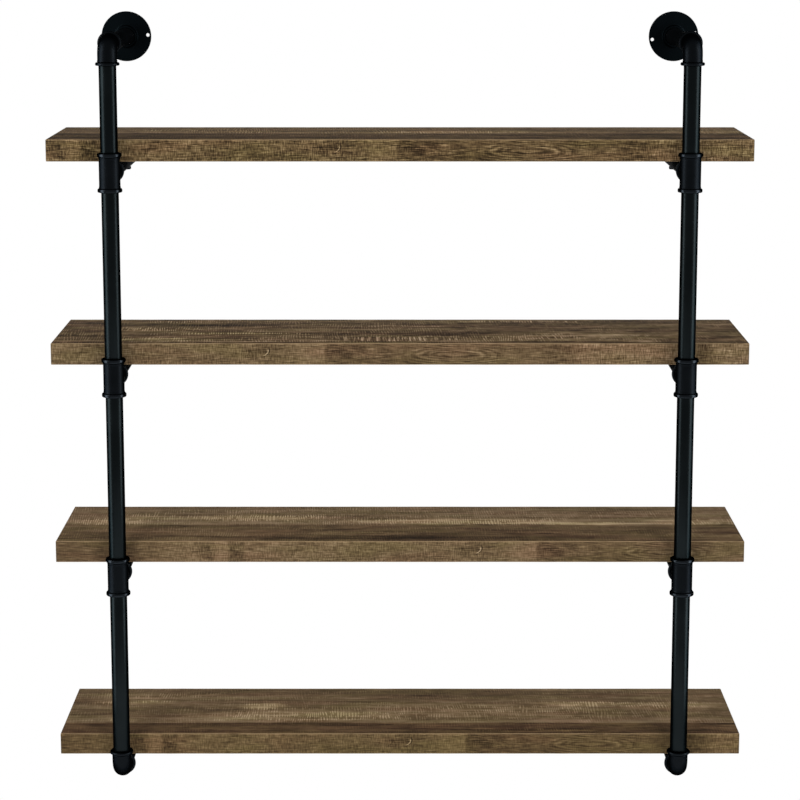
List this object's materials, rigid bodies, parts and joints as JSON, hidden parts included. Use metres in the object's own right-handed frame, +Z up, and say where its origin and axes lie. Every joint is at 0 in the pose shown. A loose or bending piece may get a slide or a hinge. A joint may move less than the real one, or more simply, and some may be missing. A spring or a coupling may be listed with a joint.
{
  "type": "wall shelf",
  "caption": "Wall shelf of thick wood-look boards resting on the arms of two black pipe frames, hung from round wall flanges.",
  "frame": {"origin": "middle of the back face of the top board, on the plane of the wall", "axes": "+X along the boards to the right as seen from the room, +Y into the wall, +Z up"},
  "size_m": [1.219, 0.3122, 1.3505],
  "materials": {
    "board": "weathered oak look with lengthwise strips, saw marks and grain, satin lacquer",
    "tube": "satin black powder coat",
    "fitting": "satin black coat over a cast surface, brighter on the beads",
    "plug": "matt black",
    "screw": "satin black coat"
  },
  "bodies": {
    "root": {"shelf_board_1": "board", "shelf_board_2": "board", "shelf_board_3": "board", "shelf_board_4": "board", "wall_flange_left": "fitting", "top_arm_left": "tube", "top_elbow_left": "fitting", "upright_left_1": "tube", "tee_left_1": "fitting", "shelf_arm_left_1": "tube", "arm_plug_left_1": "plug", "board_screw_left_1_front": "screw", "board_screw_left_1_rear": "screw", "upright_left_2": "tube", "tee_left_2": "fitting", "shelf_arm_left_2": "tube", "arm_plug_left_2": "plug", "board_screw_left_2_front": "screw", "board_screw_left_2_rear": "screw", "upright_left_3": "tube", "tee_left_3": "fitting", "shelf_arm_left_3": "tube", "arm_plug_left_3": "plug", "board_screw_left_3_front": "screw", "board_screw_left_3_rear": "screw", "upright_left_4": "tube", "bottom_elbow_left": "fitting", "shelf_arm_left_4": "tube", "arm_plug_left_4": "plug", "board_screw_left_4_front": "screw", "board_screw_left_4_rear": "screw", "wall_flange_right": "fitting", "top_arm_right": "tube", "top_elbow_right": "fitting", "upright_right_1": "tube", "tee_right_1": "fitting", "shelf_arm_right_1": "tube", "arm_plug_right_1": "plug", "board_screw_right_1_front": "screw", "board_screw_right_1_rear": "screw", "upright_right_2": "tube", "tee_right_2": "fitting", "shelf_arm_right_2": "tube", "arm_plug_right_2": "plug", "board_screw_right_2_front": "screw", "board_screw_right_2_rear": "screw", "upright_right_3": "tube", "tee_right_3": "fitting", "shelf_arm_right_3": "tube", "arm_plug_right_3": "plug", "board_screw_right_3_front": "screw", "board_screw_right_3_rear": "screw", "upright_right_4": "tube", "bottom_elbow_right": "fitting", "shelf_arm_right_4": "tube", "arm_plug_right_4": "plug", "board_screw_right_4_front": "screw", "board_screw_right_4_rear": "screw"}
  },
  "joints": []
}
